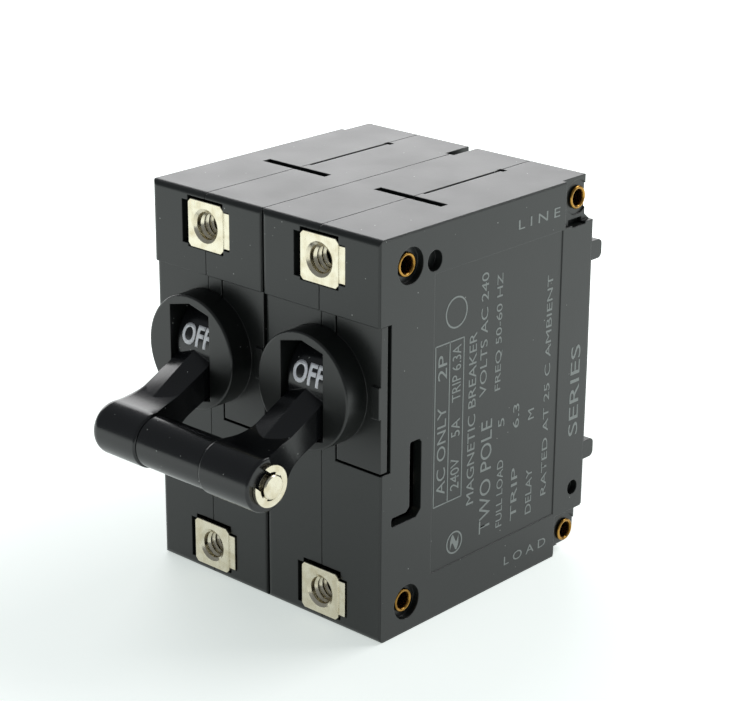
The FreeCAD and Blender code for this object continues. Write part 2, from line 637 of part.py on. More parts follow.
def armature():
    """Steel clapper that hangs on its pin in front of the pole cap."""
    y, z = ARMATURE_PIN_YZ
    plate = block(-4.2, 4.2, y - 0.6, y + 0.6, -19.4, -4.6)
    hub = rod_x(y, z, 1.3, -4.2, 5.6)
    return union([plate, hub]).cut(rod_x(y, z, 0.8 + RUNNING, -8, 8))


def armature_pin():
    """Hinge pin of the armature, fixed in the frame's ears."""
    return rod_x(*ARMATURE_PIN_YZ, 0.8, -7.0, 7.0)


def armature_spring():
    """Return spring around the armature pin, between its hub and an ear."""
    y, z = ARMATURE_PIN_YZ
    return coil_spring(vec(-5.5, y, z), X_AXIS, 1.15, 0.16, 0.36, 3)


def toggle_spring():
    """Torsion spring beside the drum, around the toggle pin."""
    return coil_spring(vec(3.7, PIVOT_Y, PIVOT_Z), X_AXIS, 1.75, 0.2, 0.42, 3)


def flexible_lead():
    """Braided lead from the coil end up to the contact arm's pivot."""
    points = [vec(4.6, 26.6, -6.6), vec(4.6, 23.0, -6.6), vec(4.6, 21.0, -4.2), vec(3.2, 19.4, -4.2)]
    radius = 0.6
    runs = []
    for start, end in zip(points, points[1:]):
        along = end.sub(start)
        runs.append(Part.makeCylinder(radius, along.Length, start, along))
    joints = [Part.makeSphere(radius, point) for point in points[1:-1]]
    return union(runs + joints)


def trip_bar():
    """Bar through both poles that passes one pole's trip to the other."""
    y, z = TRIP_BAR_YZ
    shaft = rod_x(y, z, PIN_RADIUS, -HALF - 6.5, HALF + 6.5)
    fingers = []
    for _, offset in POLES:
        hub = rod_x(y, z, 1.6, offset - 1.6, offset + 1.6)
        finger = block(offset - 1.4, offset + 1.4, y + 0.3, y + 1.5, z, -4.9)
        fingers.append(hub.fuse(finger))
    return union([shaft] + fingers)


# ---------------------------------------------------------------- fasteners
def mounting_nuts():
    """Four square nuts with a countersunk, plain tapping bore."""
    nuts = []
    half = NUT_WIDTH / 2
    for _, offset in POLES:
        for z in (NUT_Z, -NUT_Z):
            nut = block(offset - half, offset + half, 0, NUT_THICKNESS, z - half, z + half)
            upright = edges_near(nut, lambda c, e: e.BoundBox.YLength > 1)
            nut = nut.makeChamfer(0.45, upright)
            wing = block(offset + half - 0.3, offset + half + 0.95, 0.15, 1.45, z - 2.3, z + 2.35)
            nut = union([nut, wing])
            sink = Part.makeCone(NUT_COUNTERSINK_RADIUS, NUT_BORE_RADIUS, 0.45, vec(offset, 0, z), Y_AXIS)
            nuts.append(cut_all(nut, [rod_y(offset, z, NUT_BORE_RADIUS, -1, 4), sink]))
    return Part.makeCompound(nuts)


def tubular_rivets():
    """Four brass eyelets across both poles, with rolled heads."""
    rivets = []
    for y, z in rivet_places():
        reach = POLE_WIDTH - RIVET_RECESS
        tube = rod_x(y, z, RIVET_RADIUS, -reach - 0.2, reach + 0.2)
        heads = []
        for side in (-1, 1):
            heads.append(Part.makeTorus(RIVET_HEAD_RADIUS - 0.22, 0.22, vec(side * (reach + 0.22), y,
                                                                            z), X_AXIS))
        rivet = union([tube] + heads)
        rivets.append(rivet.cut(rod_x(y, z, RIVET_BORE_RADIUS, -POLE_WIDTH - 1, POLE_WIDTH + 1)))
    return Part.makeCompound(rivets)


# ---------------------------------------------------------------- all nodes
def make_pole(pole, offset):
    """Write every node of one pole."""
    left, right = case_halves(pole)
    outer, inner = (left, right) if pole == "left" else (right, left)
    shapes = {
        "outer_case": outer, "inner_case": inner, "bezel": bezel(), "toggle": toggle(pole),
        "toggle_pin": rod_x(PIVOT_Y, PIVOT_Z, PIN_RADIUS, -6.8, 6.8), "toggle_spring": toggle_spring(),
        "latch_link": latch_link(), "contact_arm": contact_arm(), "moving_contact": moving_contact(),
        "arm_pin": rod_x(*ARM_PIVOT_YZ, PIN_RADIUS, -6.8, 6.8), "fixed_contact": fixed_contact(),
        "line_terminal": line_terminal(), "load_terminal": load_terminal(), "arc_plates": arc_plates(),
        "arc_holder": arc_holder(), "magnet_frame": magnet_frame(), "bobbin": bobbin(), "coil": coil(),
        "delay_tube": delay_tube(), "pole_cap": pole_cap(), "core_slug": core_slug(),
        "core_spring": core_spring(), "armature": armature(), "armature_pin": armature_pin(),
        "armature_spring": armature_spring(),
        "flexible_lead": flexible_lead(),
    }
    for name, shape in shapes.items():
        save(pole + "_" + name, shape, offset)


def main():
    """Write every node of the protector."""
    os.makedirs("parts", exist_ok=True)
    for pole, offset in POLES:
        make_pole(pole, offset)
    save("trip_bar", trip_bar())
    save("tubular_rivets", tubular_rivets())
    save("mounting_nuts", mounting_nuts())
    save("terminal_screws", terminal_screws())
    save("tie_pin", tie_pin())
    save("tie_sleeve", tie_sleeve())
    save("retaining_ring", retaining_ring())


main()
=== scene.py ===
"""Looks of a two-pole circuit protector with tied toggle handles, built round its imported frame.

Metres throughout. +X runs to the right pole, -Y out of the panel, +Z to the line terminals.
"""

from __future__ import annotations

import json
import logging
import math
from dataclasses import dataclass, field
from enum import Enum
from typing import Mapping

import bmesh
import bpy
from mathutils import Matrix, Vector

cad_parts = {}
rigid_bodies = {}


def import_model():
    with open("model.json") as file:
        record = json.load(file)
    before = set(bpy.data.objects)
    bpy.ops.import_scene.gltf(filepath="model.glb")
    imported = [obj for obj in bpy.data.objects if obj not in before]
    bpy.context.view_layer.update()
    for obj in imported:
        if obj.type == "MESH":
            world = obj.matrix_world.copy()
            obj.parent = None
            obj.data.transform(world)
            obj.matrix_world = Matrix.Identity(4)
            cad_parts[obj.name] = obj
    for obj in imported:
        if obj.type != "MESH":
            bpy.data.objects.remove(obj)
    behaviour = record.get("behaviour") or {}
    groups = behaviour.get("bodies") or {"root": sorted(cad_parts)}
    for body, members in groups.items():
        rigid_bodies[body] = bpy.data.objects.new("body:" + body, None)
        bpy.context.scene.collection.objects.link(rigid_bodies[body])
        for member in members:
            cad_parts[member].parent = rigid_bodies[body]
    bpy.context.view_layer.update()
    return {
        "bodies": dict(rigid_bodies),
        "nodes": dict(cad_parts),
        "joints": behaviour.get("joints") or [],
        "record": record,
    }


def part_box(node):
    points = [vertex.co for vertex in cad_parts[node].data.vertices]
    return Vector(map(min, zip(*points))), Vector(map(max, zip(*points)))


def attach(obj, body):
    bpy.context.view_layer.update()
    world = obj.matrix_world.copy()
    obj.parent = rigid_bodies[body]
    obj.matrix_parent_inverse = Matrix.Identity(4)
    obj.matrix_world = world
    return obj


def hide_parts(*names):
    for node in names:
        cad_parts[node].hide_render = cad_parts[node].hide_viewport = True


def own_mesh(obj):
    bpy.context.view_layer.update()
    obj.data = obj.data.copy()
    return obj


LOG = logging.getLogger("protector")
MM = 0.001
HALF_PITCH = 9.525 * MM
POLE_X = {"left": -HALF_PITCH, "right": HALF_PITCH}
BOTTOM_Z = -25.4 * MM
WELD = 0.001 * MM

# Sockets of a Mix node that blends colours, by index, because their names repeat.
MIX_FACTOR, MIX_A, MIX_B, MIX_RESULT = 0, 6, 7, 2
# The part of a noise's range that most of its values fill.
NOISE_LOW, NOISE_HIGH = 0.3, 0.7
EDGE_SAMPLES = 6


# ------------------------------------------------------------------ colour and nodes
def linear(code: str) -> tuple[float, float, float, float]:
    """Turn an sRGB hex colour into the linear values a shader takes.

    Args:
        code: A colour such as "#1c1d1e".

    Returns:
        Linear red, green and blue, with an alpha of 1.
    """
    parts = [int(code[i:i + 2], 16) / 255 for i in (1, 3, 5)]
    red, green, blue = (p / 12.92 if p <= 0.04045 else ((p + 0.055) / 1.055) ** 2.4 for p in parts)
    return (red, green, blue, 1.0)


def add_node(tree: bpy.types.NodeTree, kind: str, inputs: Mapping | None = None,
             **settings) -> bpy.types.Node:
    """Add one node with its settings, and set or link its inputs.

    Args:
        tree: The node tree that takes the node.
        kind: The node's type name.
        inputs: Input name or index to a value, or to the output socket that feeds it.
        **settings: Attributes of the node itself.

    Returns:
        The new node.
    """
    node = tree.nodes.new(kind)
    for key, value in settings.items():
        setattr(node, key, value)
    for key, value in (inputs or {}).items():
        if isinstance(value, bpy.types.NodeSocket):
            tree.links.new(value, node.inputs[key])
        else:
            node.inputs[key].default_value = value
    return node


def new_material(name: str) -> tuple[bpy.types.Material, bpy.types.NodeTree]:
    """Make an empty material, and return it with its node tree."""
    material = bpy.data.materials.new(name)
    material.use_nodes = True
    material.node_tree.nodes.clear()
    return material, material.node_tree


# ------------------------------------------------------------------ finishes
@dataclass(frozen=True)
class Moulding:
    """A moulded plastic: body colour, gloss, skin texture, soft arrises and loose dust."""

    name: str
    colour: str
    roughness: float
    texture_mm: float
    texture_depth: float
    edge_radius_mm: float = 0.16
    gloss_spread: float = 0.06
    dust: float = 0.0
    specular: float = 0.5
    cloud_mm: float = 6.0
    cloud_lift: float = 1.35
    skin_height_mm: float = 0.02
    dust_spacing_mm: float = 1.1
    dust_colour: str = "#a4a7a2"

    def build(self) -> bpy.types.Material:
        """Build the material.

        Returns:
            The material, reading object coordinates.
        """
        material, tree = new_material(self.name)
        place = add_node(tree, "ShaderNodeTexCoord").outputs["Object"]
        cloud = add_node(tree, "ShaderNodeTexNoise", {
            "Vector": place, "Scale": 1 / (self.cloud_mm * MM), "Detail": 4.0})
        rough = add_node(tree, "ShaderNodeMapRange", {
            "Value": cloud.outputs["Fac"], "From Min": NOISE_LOW, "From Max": NOISE_HIGH,
            "To Min": self.roughness - self.gloss_spread, "To Max": self.roughness + self.gloss_spread})
        skin = add_node(tree, "ShaderNodeTexNoise", {
            "Vector": place, "Scale": 1 / (self.texture_mm * MM), "Detail": 3.0, "Roughness": 0.6})
        arris = add_node(tree, "ShaderNodeBevel", {"Radius": self.edge_radius_mm * MM}, samples=EDGE_SAMPLES)
        bump = add_node(tree, "ShaderNodeBump", {
            "Height": skin.outputs["Fac"], "Strength": self.texture_depth,
            "Distance": self.skin_height_mm * MM, "Normal": arris.outputs["Normal"]})
        lifted = tuple(min(1.0, part * self.cloud_lift) for part in linear(self.colour)[:3]) + (1.0,)
        shade = add_node(tree, "ShaderNodeMix", {
            MIX_FACTOR: cloud.outputs["Fac"], MIX_A: linear(self.colour), MIX_B: lifted}, data_type="RGBA")
        colour = shade.outputs[MIX_RESULT]
        if self.dust:
            colour = self.dusted(tree, place, colour)
        surface = add_node(tree, "ShaderNodeBsdfPrincipled", {
            "Base Color": colour, "Roughness": rough.outputs["Result"], "Normal": bump.outputs["Normal"],
            "Specular IOR Level": self.specular})
        add_node(tree, "ShaderNodeOutputMaterial", {"Surface": surface.outputs["BSDF"]})
        return material

    def dusted(self, tree: bpy.types.NodeTree, place: bpy.types.NodeSocket,
               colour: bpy.types.NodeSocket) -> bpy.types.NodeSocket:
        """Scatter pale specks of dust, one or so to every few square millimetres.

        Args:
            tree: The material's nodes.
            place: Object coordinates.
            colour: The clean colour.

        Returns:
            The colour with its dust.
        """
        cells = add_node(tree, "ShaderNodeTexVoronoi", {
            "Vector": place, "Scale": 1 / (self.dust_spacing_mm * MM)})
        near = add_node(tree, "ShaderNodeMapRange", {
            "Value": cells.outputs["Distance"], "From Min": 0.04, "From Max": 0.09,
            "To Min": 1.0, "To Max": 0.0})
        pick = add_node(tree, "ShaderNodeMapRange", {
            "Value": cells.outputs["Color"], "From Min": 1.0 - self.dust, "From Max": 1.05 - self.dust})
        speck = add_node(tree, "ShaderNodeMath", {0: near.outputs["Result"], 1: pick.outputs["Result"]},
                         operation="MULTIPLY")
        mix = add_node(tree, "ShaderNodeMix", {
            MIX_FACTOR: speck.outputs["Value"], MIX_A: colour, MIX_B: linear(self.dust_colour)},
            data_type="RGBA")
        return mix.outputs[MIX_RESULT]


@dataclass(frozen=True)
class Plating:
    """A plated or bare metal: colour, gloss, fine scratches, a slight tarnish and painted shade in its
    hollows.
    """

    name: str
    colour: str
    tarnish: str
    roughness: float
    scratch_mm: float = 0.15
    scratch_depth: float = 0.15
    edge_radius_mm: float = 0.08
    # Colour and reach of the painted shade in bores and corners.
    hollow_shade_colour: str = "#3a3226"
    shade_reach_mm: float = 1.6
    cloud_mm: float = 1.4
    scratch_stretch: float = 0.12
    scratch_height_mm: float = 0.01

    def build(self) -> bpy.types.Material:
        """Build the material.

        Returns:
            The material, reading object coordinates.
        """
        material, tree = new_material(self.name)
        place = add_node(tree, "ShaderNodeTexCoord").outputs["Object"]
        stretch = add_node(tree, "ShaderNodeMapping", {
            "Vector": place, "Scale": (1.0, 1.0, self.scratch_stretch)})
        scratch = add_node(tree, "ShaderNodeTexNoise", {
            "Vector": stretch.outputs["Vector"], "Scale": 1 / (self.scratch_mm * MM), "Detail": 5.0})
        cloud = add_node(tree, "ShaderNodeTexNoise", {
            "Vector": place, "Scale": 1 / (self.cloud_mm * MM), "Detail": 3.0})
        blend = add_node(tree, "ShaderNodeMapRange", {
            "Value": cloud.outputs["Fac"], "From Min": 0.42, "From Max": 0.75})
        shade = add_node(tree, "ShaderNodeMix", {
            MIX_FACTOR: blend.outputs["Result"], MIX_A: linear(self.colour), MIX_B: linear(self.tarnish)},
            data_type="RGBA")
        # Painted shade: the colour darkens in bores and corners that ambient occlusion finds shut in.
        colour = self.paint_hollow_shade(tree, shade.outputs[MIX_RESULT])
        rough = add_node(tree, "ShaderNodeMapRange", {
            "Value": scratch.outputs["Fac"], "From Min": NOISE_LOW, "From Max": NOISE_HIGH,
            "To Min": self.roughness * 0.75, "To Max": self.roughness * 1.3})
        arris = add_node(tree, "ShaderNodeBevel", {"Radius": self.edge_radius_mm * MM}, samples=EDGE_SAMPLES)
        bump = add_node(tree, "ShaderNodeBump", {
            "Height": scratch.outputs["Fac"], "Strength": self.scratch_depth,
            "Distance": self.scratch_height_mm * MM, "Normal": arris.outputs["Normal"]})
        surface = add_node(tree, "ShaderNodeBsdfPrincipled", {
            "Base Color": colour, "Metallic": 1.0, "Roughness": rough.outputs["Result"],
            "Normal": bump.outputs["Normal"]})
        add_node(tree, "ShaderNodeOutputMaterial", {"Surface": surface.outputs["BSDF"]})
        return material

    def paint_hollow_shade(self, tree: bpy.types.NodeTree, colour: bpy.types.NodeSocket) -> bpy.types.NodeSocket:
        """Paint shade into the metal in bores and corners, darker where ambient occlusion finds the surface
        shut in.

        Args:
            tree: The material's nodes.
            colour: The clean colour.

        Returns:
            The colour with dull hollows.
        """
        # Ambient occlusion sets how much painted shade each point takes.
        open_sky = add_node(tree, "ShaderNodeAmbientOcclusion", {"Distance": self.shade_reach_mm * MM},
                            samples=8)
        share = add_node(tree, "ShaderNodeMapRange", {
            "Value": open_sky.outputs["AO"], "From Min": 0.08, "From Max": 0.6})
        mix = add_node(tree, "ShaderNodeMix", {
            MIX_FACTOR: share.outputs["Result"], MIX_A: linear(self.hollow_shade_colour), MIX_B: colour}, data_type="RGBA")
        return mix.outputs[MIX_RESULT]


FINISHES = {
    # Thermoset with fine glass in it: near black and slightly green, low gloss, a faint skin, a little dust.
    "case_black": Moulding("glass-filled polyester case", "#161918", 0.33, 0.3, 0.3,
                           gloss_spread=0.02, dust=0.3),
    # The same compound from a smoother tool: a shade darker, with more dust caught round the window.
    "bezel_black": Moulding("glass-filled polyester bezel", "#131514", 0.31, 0.3, 0.25,
                            gloss_spread=0.02, dust=0.45),
    # Nylon from a polished tool: darker and glossier than the case, with long soft highlights.
    "handle_black": Moulding("polished nylon handle", "#0e0f11", 0.2, 0.5, 0.12,
                             gloss_spread=0.03, dust=0.45),
    # Warm white plating with fine drawn lines: bright faces, and bores darkened brown with painted shade.
    "nickel": Plating("nickel plate", "#e2dbc6", "#cbc0a4", 0.24),
    # Plain zinc over steel: an even, slightly dull grey.
    "steel": Plating("zinc plated steel", "#b9bab8", "#9b9c99", 0.35),
    # Bare drawn wire: darker grey with lengthwise lines.
    "spring_steel": Plating("drawn spring wire", "#a3a3a1", "#7f7f7d", 0.3),
    # Drawn tube with rolled ends: a dull yellow rim round a bore darkened with painted shade.
    "brass": Plating("drawn brass", "#b98d45", "#7c5a24", 0.26, hollow_shade_colour="#2a1a0a", shade_reach_mm=1.2),
    # Copper under clear enamel: warm brown with a soft gloss.
    "copper": Plating("enamelled copper", "#b8693f", "#8d4a2b", 0.3),
    # Tin over copper strap: pale and slightly warm, with blurred reflections.
    "tinned_copper": Plating("tinned copper strap", "#cfcbc2", "#aaa69c", 0.32),
    # Fine silver faces: the brightest metal here.
    "silver": Plating("silver contact", "#e3e1da", "#bdbab1", 0.18),
    # Vulcanised paper board: matt red brown with a rough grain.
    "fibre": Moulding("vulcanised fibre", "#6e3b26", 0.62, 0.5, 0.5),
    # Uncoloured nylon: milky beige with a low gloss.
    "bobbin_nylon": Moulding("natural nylon", "#b3ad98", 0.42, 0.5, 0.2),
}
# Thin matt ink: grey where the black shows through it.
GREY_INK = Moulding("grey pad-print ink", "#7c817f", 0.55, 0.2, 0.3, edge_radius_mm=0.005)
# Dense ink laid twice: a clean, slightly blue white.
WHITE_INK = Moulding("white pad-print ink", "#e9eaf4", 0.5, 0.2, 0.2, edge_radius_mm=0.005)


# ------------------------------------------------------------------ modelling by hand
def deselect() -> None:
    """Leave nothing selected, because operators act on all that is."""
    bpy.ops.object.select_all(action="DESELECT")


def activate(*objects: bpy.types.Object) -> None:
    """Select the given objects alone, with the first one active."""
    deselect()
    for item in objects:
        item.select_set(True)
    bpy.context.view_layer.objects.active = objects[0]


def apply_modifier(piece: bpy.types.Object, kind: str, **settings) -> None:
    """Give a piece one modifier and apply it.

    Args:
        piece: The object to change.
        kind: The modifier's type name.
        **settings: Attributes of the modifier.
    """
    activate(piece)
    modifier = piece.modifiers.new(kind.lower(), kind)
    for key, value in settings.items():
        setattr(modifier, key, value)
    bpy.ops.object.modifier_apply(modifier=modifier.name)


def combine(piece: bpy.types.Object, tool: bpy.types.Object, operation: str) -> None:
    """Cut a tool from a piece or weld it on, and delete the tool.

    Args:
        piece: The object that is kept.
        tool: The object that is used up.
        operation: "DIFFERENCE" or "UNION".
    """
    apply_modifier(piece, "BOOLEAN", operation=operation, object=tool, solver="EXACT")
    bpy.data.objects.remove(tool)


def merge(pieces: list[bpy.types.Object], name: str) -> bpy.types.Object:
    """Join pieces into one object with its place in its mesh.

    Args:
        pieces: The objects to join; the first one takes the rest.
        name: Name of the joined object.

    Returns:
        The joined object.
    """
    activate(*pieces)
    bpy.ops.object.join()
    joined = bpy.context.object
    bpy.ops.object.transform_apply(location=True, rotation=True, scale=True)
    joined.name = name
    joined.data.name = name
    return joined


def flat_text(words: str, weight: float) -> bpy.types.Object:
    """Set words flat in X and Y as a single sheet of mesh.

    Args:
        words: What the text says.
        weight: How much bolder than the plain face, as a share of the letters' size.

    Returns:
        A mesh object of unit letter size.
    """
    deselect()
    bpy.ops.object.text_add()
    text = bpy.context.object
    text.data.body = words
    text.data.offset = weight
    text.data.resolution_u = 4
    bpy.ops.object.convert(target="MESH")
    return bpy.context.object


def fit_flat(piece: bpy.types.Object, width: float, height: float) -> None:
    """Scale a flat mesh to a width and height, with its lower left corner on the origin."""
    xs = [v.co.x for v in piece.data.vertices]
    ys = [v.co.y for v in piece.data.vertices]
    size_x, size_y = max(xs) - min(xs), max(ys) - min(ys)
    piece.data.transform(Matrix.Translation((-min(xs), -min(ys), 0)))
    piece.data.transform(Matrix.Diagonal((width / size_x, height / size_y, 1.0, 1.0)))


def dress(piece: bpy.types.Object, material: bpy.types.Material, body: str) -> None:
    """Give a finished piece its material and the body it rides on.

    Args:
        piece: The finished piece.
        material: Its material.
        body: Name of the body that carries it.
    """
    piece.data.materials.clear()
    piece.data.materials.append(material)
    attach(piece, body)
    LOG.info("%s rides on %s", piece.name, body)


# ------------------------------------------------------------------ nuts
@dataclass
class ThreadedNuts:
    """Four square nuts with clipped corners, a side lug, a countersink and a cut No. 6-32 thread."""

    spacing_x: float
    spacing_z: float
    width: float = 6.1 * MM
    thickness: float = 2.9 * MM
    corner: float = 0.45 * MM
    edge: float = 0.09 * MM
    major_radius: float = 1.74 * MM
    minor_radius: float = 1.42 * MM
    sink_radius: float = 2.15 * MM
    sink_depth: float = 0.45 * MM
    pitch: float = 0.794 * MM
    turns: int = 3
    steps: int = 36
    sink_margin: float = 0.1 * MM
    thread_start: float = 0.05 * MM
    thread_overlap: float = 0.02 * MM
    root_share: float = 0.44
    crest_share: float = 0.09
    lug_reach: float = 4.0 * MM
    lug_overlap: float = 0.3 * MM
    lug_height: float = 4.6 * MM
    lug_depth: float = 0.8 * MM
    lug_thickness: float = 1.3 * MM

    def build(self, material: bpy.types.Material) -> bpy.types.Object:
        """Make one nut and copy it to the four corners.

        Args:
            material: The nuts' plating.

        Returns:
            One object that holds the four nuts.
        """
        model = merge([self.body(), self.thread()], "nut")
        model.data.transform(Matrix.Rotation(math.radians(-90), 4, "X"))
        nuts = []
        for side in (-1, 1):
            for end in (-1, 1):
                nut = model.copy()
                nut.data = model.data.copy()
                place = (side * self.spacing_x / 2, 0, end * self.spacing_z / 2)
                nut.data.transform(Matrix.Translation(place))
                bpy.context.scene.collection.objects.link(nut)
                nuts.append(nut)
        bpy.data.objects.remove(model)
        piece = merge(nuts, "threaded_nuts")
        dress(piece, material, "root")
        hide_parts("mounting_nuts")
        return piece

    def body(self) -> bpy.types.Object:
        """Model the square body with its lug, bore and countersink, facing down Z."""
        nut = self.clipped_block()
        lug_start = self.width / 2 - self.lug_overlap
        lug_middle = (lug_start + self.lug_reach) / 2
        bpy.ops.mesh.primitive_cube_add(size=1.0, location=(lug_middle, 0, self.lug_depth))
        lug = bpy.context.object
        lug.scale = (self.lug_reach - lug_start, self.lug_height, self.lug_thickness)
        bpy.ops.object.transform_apply(location=True, rotation=True, scale=True)
        combine(nut, lug, "UNION")
        apply_modifier(nut, "BEVEL", width=self.edge, segments=2, limit_method="ANGLE",
                       angle_limit=math.radians(40))
        bpy.ops.mesh.primitive_cylinder_add(vertices=self.steps * 2, radius=self.major_radius,
                                            depth=self.thickness * 2, location=(0, 0, self.thickness / 2))
        combine(nut, bpy.context.object, "DIFFERENCE")
        bpy.ops.mesh.primitive_cone_add(vertices=self.steps * 2, radius1=self.sink_radius + self.sink_margin,
                                        radius2=self.minor_radius, depth=self.sink_depth * 1.25,
                                        location=(0, 0, self.sink_depth * 0.5))
        combine(nut, bpy.context.object, "DIFFERENCE")
        apply_modifier(nut, "WELD", merge_threshold=WELD)
        activate(nut)
        bpy.ops.object.shade_smooth_by_angle(angle=math.radians(12))
        return nut

    def clipped_block(self) -> bpy.types.Object:
        """Add the square block and clip its four upright edges."""
        deselect()
        bpy.ops.mesh.primitive_cube_add(size=1.0, location=(0, 0, self.thickness / 2))
        block = bpy.context.object
        block.scale = (self.width, self.width, self.thickness)
        bpy.ops.object.transform_apply(location=True, rotation=True, scale=True)
        bpy.ops.object.mode_set(mode="EDIT")
        bpy.ops.mesh.select_all(action="DESELECT")
        bpy.ops.mesh.select_mode(type="EDGE")
        mesh = bmesh.from_edit_mesh(block.data)
        for line in mesh.edges:
            ends = line.verts[0].co - line.verts[1].co
            line.select = abs(ends.z) > self.thickness * 0.9
        bmesh.update_edit_mesh(block.data)
        bpy.ops.mesh.bevel(offset=self.corner, segments=1, affect="EDGES")
        bpy.ops.object.mode_set(mode="OBJECT")
        return block

    def thread(self) -> bpy.types.Object:
        """Sweep the closed thread ridge up the bore."""
        start = self.sink_depth + self.thread_start
        root = self.major_radius + self.thread_overlap
        half_root = self.pitch * self.root_share
        half_crest = self.pitch * self.crest_share
        outline = [(root, -half_root), (self.minor_radius, -half_crest), (self.minor_radius, half_crest),
                   (root, half_root)]
        mesh = bpy.data.meshes.new("thread")
        mesh.from_pydata([(r, 0, start + half_root + h) for r, h in outline],
                         [(0, 1), (1, 2), (2, 3), (3, 0)], [])
        ridge = bpy.data.objects.new("thread", mesh)
        bpy.context.scene.collection.objects.link(ridge)
        apply_modifier(ridge, "SCREW", axis="Z", angle=math.tau, screw_offset=self.pitch,
                       iterations=self.turns, steps=self.steps, render_steps=self.steps)
        bpy.ops.object.mode_set(mode="EDIT")
        bpy.ops.mesh.select_all(action="SELECT")
        bpy.ops.mesh.fill_holes(sides=4)
        bpy.ops.mesh.select_all(action="SELECT")
        bpy.ops.mesh.normals_make_consistent(inside=False)
        bpy.ops.object.mode_set(mode="OBJECT")
        bpy.ops.object.shade_smooth_by_angle(angle=math.radians(35))
        return ridge


# ------------------------------------------------------------------ springs
@dataclass
class CoreSprings:
    """Springs in the delay tubes, copied onto the fixed frame as they stand; on the real part they close up
    as the core slugs are pulled forward.
    """

    frame: dict
    joints: dict[str, dict]

    def build(self, material: bpy.types.Material) -> None:
        """Copy each spring's mesh, weld it and hang it on the root body.

        Args:
            material: The springs' wire.
        """
        for pole in POLE_X:
            node = f"{pole}_core_spring"
            spring = bpy.data.objects.new(f"{node}_wire", self.frame["nodes"][node].data.copy())
            bpy.context.scene.collection.objects.link(spring)
            apply_modifier(spring, "WELD", merge_threshold=WELD)
            dress(spring, material, "root")
            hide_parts(node)
            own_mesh(spring)


# ------------------------------------------------------------------ prints
class Reading(Enum):
    """Which way a line of print runs on the case side."""

    REARWARD = ((0, 1, 0), (0, 0, 1))
    UPWARD = ((0, 0, 1), (0, -1, 0))

    def turn(self) -> Matrix:
        """Turn from flat X and Y to this reading, facing +X."""
        run, rise = (Vector(axis) for axis in self.value)
        return Matrix((run, rise, run.cross(rise))).transposed().to_4x4()


@dataclass(frozen=True)
class PrintLine:
    """One line of print: its words, and its box on the case side in millimetres."""

    words: str
    near_y: float
    far_y: float
    low_z: float
    high_z: float
    reading: Reading = Reading.UPWARD


